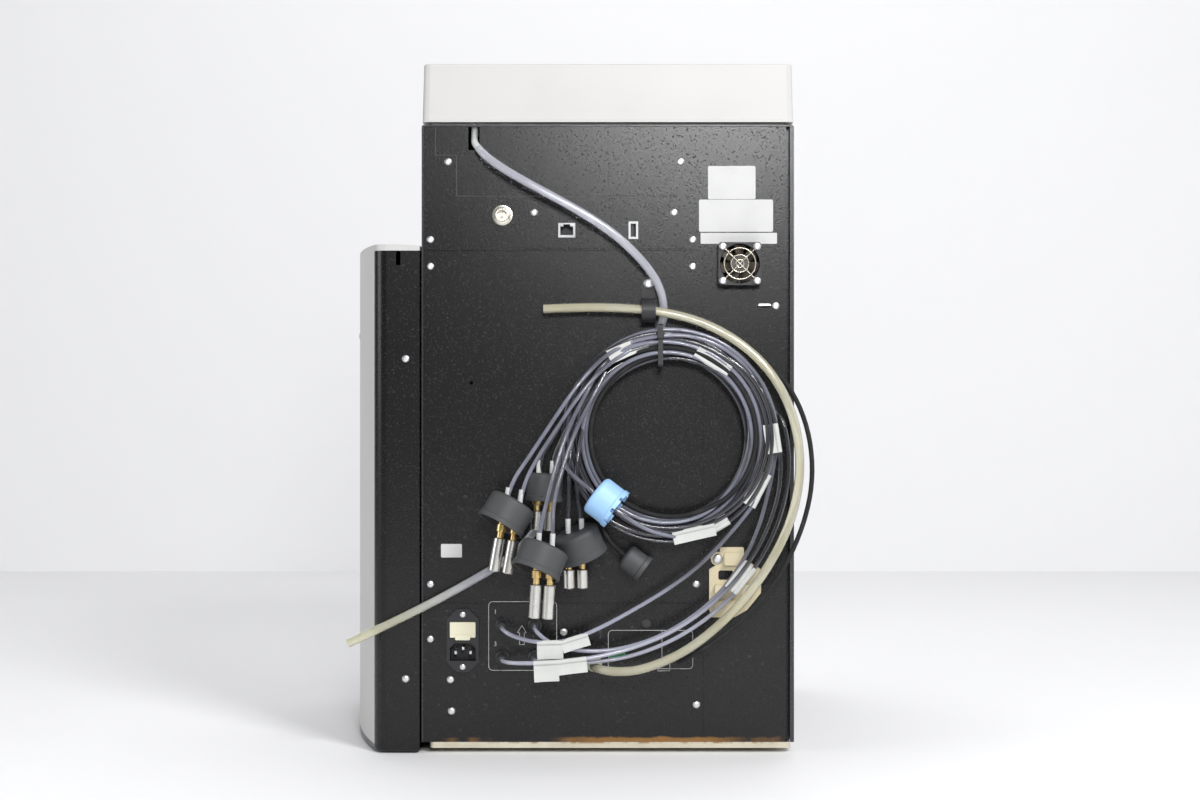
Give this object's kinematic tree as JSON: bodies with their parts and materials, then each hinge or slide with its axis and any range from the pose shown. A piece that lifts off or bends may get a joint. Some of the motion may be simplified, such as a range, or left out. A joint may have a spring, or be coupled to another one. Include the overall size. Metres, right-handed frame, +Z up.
{
  "type": "flash chromatography system",
  "caption": "Bench-top flash chromatography system: tray top, fraction bay, touch screen, side column module and rear panels with tubing.",
  "frame": {"origin": "middle of the footprint on the surface the feet stand on", "axes": "+Z up, +Y towards the rear panels and tubing, +X towards the column module"},
  "size_m": [0.4589, 0.531, 0.6471],
  "materials": {
    "black_paint": "fine black texture paint",
    "dark_paint": "dark grey texture paint",
    "grey_moulding": "light grey satin",
    "white_sheet": "white satin paint",
    "plated_steel": "zinc plated",
    "bright_metal": "satin",
    "steel": "machined",
    "chrome_wire": "bright",
    "nickel": "nickel plate",
    "brass_fitting": "machined",
    "black_rubber": "matt",
    "dark_plastic": "fine satin",
    "cap_plastic": "matt",
    "blue_plastic": "satin",
    "ivory_plastic": "satin",
    "beige_plastic": "satin",
    "green_plastic": "satin",
    "green_board": "satin",
    "white_polymer": "satin",
    "screen_glass": "gloss",
    "clear_tube": "clear"
  },
  "bodies": {
    "instrument": {"base_pan": "plated_steel", "rubber_feet": "black_rubber", "wrap_cover": "dark_paint", "rear_frame_panel": "black_paint", "upper_cover_plate": "black_paint", "comms_plate": "black_paint", "rear_access_panel": "black_paint", "rear_connection_panel": "black_paint", "solvent_tray": "grey_moulding", "front_panel": "grey_moulding", "screen_bezel": "dark_plastic", "touch_screen": "screen_glass", "bay_liner": "white_sheet", "arm_rail": "bright_metal", "switch_frame": "dark_plastic", "fan_frame": "dark_plastic", "fan_guard": "chrome_wire", "mains_inlet": "dark_plastic", "inlet_pins": "bright_metal", "data_sockets": "bright_metal", "detector_connector": "nickel", "terminal_connector": "green_plastic", "panel_fittings": "white_polymer", "sensor_plug": "dark_plastic", "tube_clip": "dark_plastic", "bundle_tie": "dark_plastic", "tube_bracket": "beige_plastic", "panel_screws": "bright_metal", "module_back_shell": "black_paint", "module_side_cover": "grey_moulding", "module_top_cap": "grey_moulding", "column_rail": "bright_metal", "lower_column_holder": "dark_plastic", "injection_valve": "steel", "column_line": "steel", "power_supply": "plated_steel", "control_board": "green_board", "pump_motor": "dark_paint", "pump_head": "steel", "valve_block": "white_polymer", "uv_detector": "bright_metal", "drain_tube": "clear_tube", "waste_tube": "clear_tube", "solvent_line_1": "clear_tube", "solvent_line_2": "clear_tube", "solvent_line_3": "clear_tube", "solvent_line_4": "clear_tube", "tubing_coil": "clear_tube", "sensor_cable": "black_rubber", "bottle_caps": "cap_plastic", "blue_cap": "blue_plastic", "end_fittings": "brass_fitting", "inlet_filters": "steel"},
    "fan": {"fan_rotor": "dark_plastic"},
    "fuse_carrier": {"fuse_drawer": "ivory_plastic"},
    "rocker": {"power_rocker": "dark_plastic"},
    "arm": {"collector_arm": "grey_moulding"},
    "head": {"dispense_head": "dark_plastic"},
    "upper_holder": {"upper_column_holder": "dark_plastic"},
    "knob": {"clamp_knob": "dark_plastic"}
  },
  "joints": [
    {"name": "fan_spin", "type": "hinge", "parent": "instrument", "child": "fan", "pos_m": [-0.1626, 0.2149, 0.4583], "axis": [0, 1, 0], "continuous": true},
    {"name": "fuse_drawer_slide", "type": "slide", "parent": "instrument", "child": "fuse_carrier", "axis": [0, 1, 0], "range_m": [0, 0.018]},
    {"name": "rocker_tilt", "type": "hinge", "parent": "instrument", "child": "rocker", "pos_m": [0.0737, -0.2201, 0.0248], "axis": [0, 0, 1], "range_deg": [0, 16]},
    {"name": "arm_traverse", "type": "slide", "parent": "instrument", "child": "arm", "axis": [1, 0, 0], "range_m": [-0.12, 0.12]},
    {"name": "dispense_reach", "type": "slide", "parent": "arm", "child": "head", "axis": [0, -1, 0], "range_m": [0, 0.165]},
    {"name": "column_clamp_slide", "type": "slide", "parent": "instrument", "child": "upper_holder", "axis": [0, 0, 1], "range_m": [-0.12, 0.06]},
    {"name": "clamp_knob_turn", "type": "hinge", "parent": "upper_holder", "child": "knob", "pos_m": [0.16725, -0.1736, 0.29], "axis": [1, 0, 0], "continuous": true}
  ]
}
